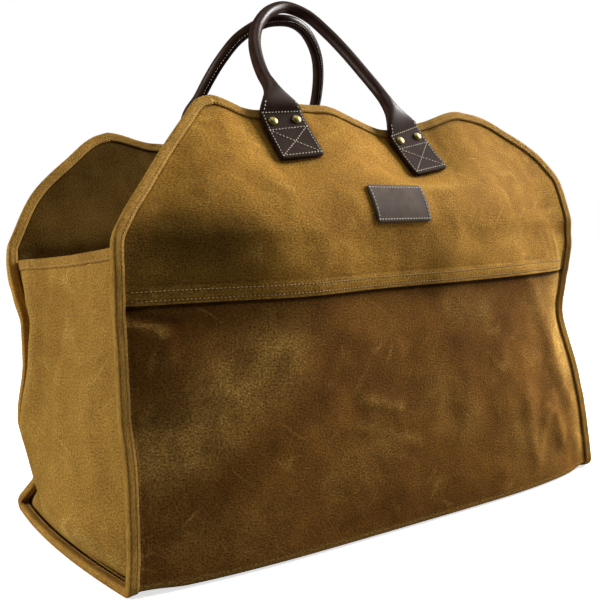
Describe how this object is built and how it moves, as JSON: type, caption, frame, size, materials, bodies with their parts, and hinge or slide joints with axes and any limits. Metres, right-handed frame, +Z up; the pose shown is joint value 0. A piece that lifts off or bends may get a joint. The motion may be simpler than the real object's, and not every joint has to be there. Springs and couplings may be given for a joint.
{
  "type": "log carrier",
  "caption": "Open-topped firewood tote of waxed canvas with bound edges, inset end walls, a leather patch and rolled leather handles riveted to its upper panels.",
  "frame": {"origin": "middle of the flat underside, on the surface it stands on", "axes": "+X along the length, -Y to the front that carries the patch, +Z up"},
  "size_m": [0.5779, 0.3231, 0.5041],
  "materials": {
    "waxed_canvas": "waxed cotton canvas, tan brown, mottled, with paler creases",
    "binding_tape": "folded waxed canvas tape and hems, with one row of stitches",
    "dark_leather": "smooth dark brown leather with pale stitching",
    "rivet_brass": "domed brass, lightly worn"
  },
  "bodies": {
    "root": {"base_sling": "waxed_canvas", "front_yoke": "waxed_canvas", "back_yoke": "waxed_canvas", "gusset_left": "waxed_canvas", "gusset_right": "waxed_canvas", "edge_binding": "binding_tape", "hem_left": "binding_tape", "hem_right": "binding_tape", "handle_front": "dark_leather", "handle_back": "dark_leather", "label_patch": "dark_leather", "rivet_front_1": "rivet_brass", "rivet_front_2": "rivet_brass", "rivet_front_3": "rivet_brass", "rivet_front_4": "rivet_brass", "rivet_back_1": "rivet_brass", "rivet_back_2": "rivet_brass", "rivet_back_3": "rivet_brass", "rivet_back_4": "rivet_brass"}
  },
  "joints": []
}
